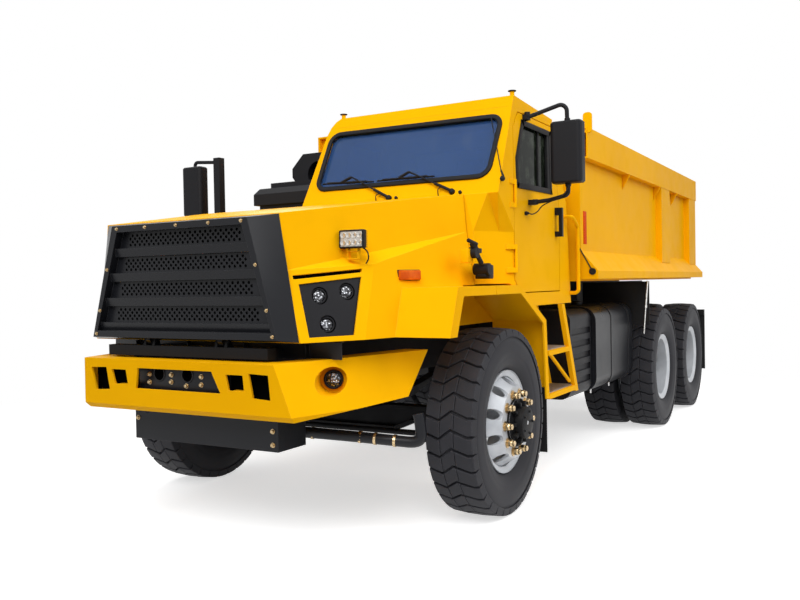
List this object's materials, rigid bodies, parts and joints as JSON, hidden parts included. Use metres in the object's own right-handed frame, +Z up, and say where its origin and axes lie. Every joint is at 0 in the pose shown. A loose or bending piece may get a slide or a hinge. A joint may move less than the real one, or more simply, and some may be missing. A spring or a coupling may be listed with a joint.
{
  "type": "underground mining truck",
  "caption": "Low-profile underground mining dump truck with an offset steel cab, a tilting nose, a tandem rear axle on twin wheels and a rear-tipping body.",
  "frame": {"origin": "on the ground, under the middle of the overall length and on the centre plane", "axes": "+X forward, +Y to the vehicle's left, where its cab is, +Z up"},
  "size_m": [6.828, 3.12, 2.59],
  "materials": {
    "yellow_paint": "semi-gloss enamel",
    "black_paint": "satin enamel",
    "chassis_paint": "satin enamel",
    "silver_paint": "silver enamel",
    "tyre_rubber": "matt",
    "black_rubber": "matt",
    "black_plastic": "grained",
    "pane": "clear, lightly tinted",
    "seat_cloth": "woven",
    "bright_steel": "hard chromed"
  },
  "bodies": {
    "chassis": {"frame_rails": "chassis_paint", "nose_crossmember": "chassis_paint", "front_bumper": "yellow_paint", "lower_guard": "black_paint", "engine_block": "chassis_paint", "driveline": "chassis_paint", "front_axle": "chassis_paint", "leaf_springs": "chassis_paint", "rear_axles": "chassis_paint", "side_tanks": "black_paint", "side_boxes": "black_plastic", "air_tanks": "black_paint", "front_fenders": "yellow_paint", "cab_steps": "yellow_paint", "mudflaps": "black_rubber", "cab_brackets": "chassis_paint", "cab_shell": "yellow_paint", "cab_roof": "yellow_paint", "cab_glass": "pane", "dashboard": "black_plastic", "steering_wheel": "black_plastic", "seat": "seat_cloth", "right_deck": "yellow_paint", "deck_boxes": "black_plastic", "grab_rail": "yellow_paint", "mirror_right": "black_plastic"},
    "hood": {"hood_shell": "yellow_paint", "grille": "black_paint", "headlight_panels": "black_plastic", "work_light": "black_plastic"},
    "door": {"door_panel": "yellow_paint", "door_window": "pane", "door_handle": "black_plastic", "mirror_left": "black_plastic"},
    "bed": {"bed": "yellow_paint", "bed_frame": "chassis_paint"},
    "tailgate": {"tailgate": "yellow_paint"},
    "hoist_barrel": {"hoist_barrel": "black_paint"},
    "hoist_rod": {"hoist_rod": "bright_steel"},
    "knuckle_left": {"knuckle_left": "chassis_paint"},
    "knuckle_right": {"knuckle_right": "chassis_paint"},
    "tie_rod": {"tie_rod": "chassis_paint"},
    "front_left_wheel": {"front_left_rim": "silver_paint", "front_left_tyre": "tyre_rubber"},
    "front_right_wheel": {"front_right_rim": "silver_paint", "front_right_tyre": "tyre_rubber"},
    "mid_left_wheels": {"mid_left_rims": "silver_paint", "mid_left_tyres": "tyre_rubber"},
    "mid_right_wheels": {"mid_right_rims": "silver_paint", "mid_right_tyres": "tyre_rubber"},
    "rear_left_wheels": {"rear_left_rims": "silver_paint", "rear_left_tyres": "tyre_rubber"},
    "rear_right_wheels": {"rear_right_rims": "silver_paint", "rear_right_tyres": "tyre_rubber"}
  },
  "joints": [
    {"name": "hood_tilt", "type": "hinge", "parent": "chassis", "child": "hood", "pos_m": [3.304, 0, 1.08], "axis": [0, 1, 0], "range_deg": [0, 55]},
    {"name": "door_swing", "type": "hinge", "parent": "chassis", "child": "door", "pos_m": [1.778, 1.21, 1.85], "axis": [0, 0, -1], "range_deg": [0, 70]},
    {"name": "bed_tilt", "type": "hinge", "parent": "chassis", "child": "bed", "pos_m": [-3.214, 0, 1.1], "axis": [0, -1, 0], "range_deg": [0, 50]},
    {"name": "tailgate_swing", "type": "hinge", "parent": "bed", "child": "tailgate", "pos_m": [-3.349, 0, 2.36], "axis": [0, 1, 0], "range_deg": [0, 60]},
    {"name": "hoist_swing", "type": "hinge", "parent": "chassis", "child": "hoist_barrel", "pos_m": [-0.664, 0, 0.9], "axis": [0, 1, 0], "range_deg": [0, 23.18]},
    {"name": "hoist_extend", "type": "slide", "parent": "hoist_barrel", "child": "hoist_rod", "axis": [-0.9783, 0, 0.2074], "range_m": [0, 0.8782]},
    {"name": "steer_left", "type": "hinge", "parent": "chassis", "child": "knuckle_left", "pos_m": [1.986, 0.93, 0.545], "axis": [0, 0, 1], "range_deg": [-28, 28]},
    {"name": "steer_right", "type": "hinge", "parent": "chassis", "child": "knuckle_right", "pos_m": [1.986, -0.93, 0.545], "axis": [0, 0, 1], "range_deg": [-28.1, 28.1]},
    {"name": "tie_rod_slide", "type": "slide", "parent": "chassis", "child": "tie_rod", "axis": [0, 1, 0], "range_m": [-0.14, 0.14]},
    {"name": "front_left_spin", "type": "hinge", "parent": "knuckle_left", "child": "front_left_wheel", "pos_m": [1.986, 1.105, 0.545], "axis": [0, 1, 0], "continuous": true},
    {"name": "front_right_spin", "type": "hinge", "parent": "knuckle_right", "child": "front_right_wheel", "pos_m": [1.986, -1.105, 0.545], "axis": [0, 1, 0], "continuous": true},
    {"name": "mid_left_spin", "type": "hinge", "parent": "chassis", "child": "mid_left_wheels", "pos_m": [-1.414, 1.07, 0.545], "axis": [0, 1, 0], "continuous": true},
    {"name": "mid_right_spin", "type": "hinge", "parent": "chassis", "child": "mid_right_wheels", "pos_m": [-1.414, -1.07, 0.545], "axis": [0, 1, 0], "continuous": true},
    {"name": "rear_left_spin", "type": "hinge", "parent": "chassis", "child": "rear_left_wheels", "pos_m": [-2.744, 1.07, 0.545], "axis": [0, 1, 0], "continuous": true},
    {"name": "rear_right_spin", "type": "hinge", "parent": "chassis", "child": "rear_right_wheels", "pos_m": [-2.744, -1.07, 0.545], "axis": [0, 1, 0], "continuous": true}
  ],
  "couplings": [
    {"joint": "hoist_swing", "follows": "bed_tilt", "ratio": 0.46164},
    {"joint": "hoist_extend", "follows": "bed_tilt", "m_per_rad": 1.0052},
    {"joint": "steer_right", "follows": "steer_left", "ratio": 1},
    {"joint": "tie_rod_slide", "follows": "steer_left", "m_per_rad": 0.28}
  ]
}
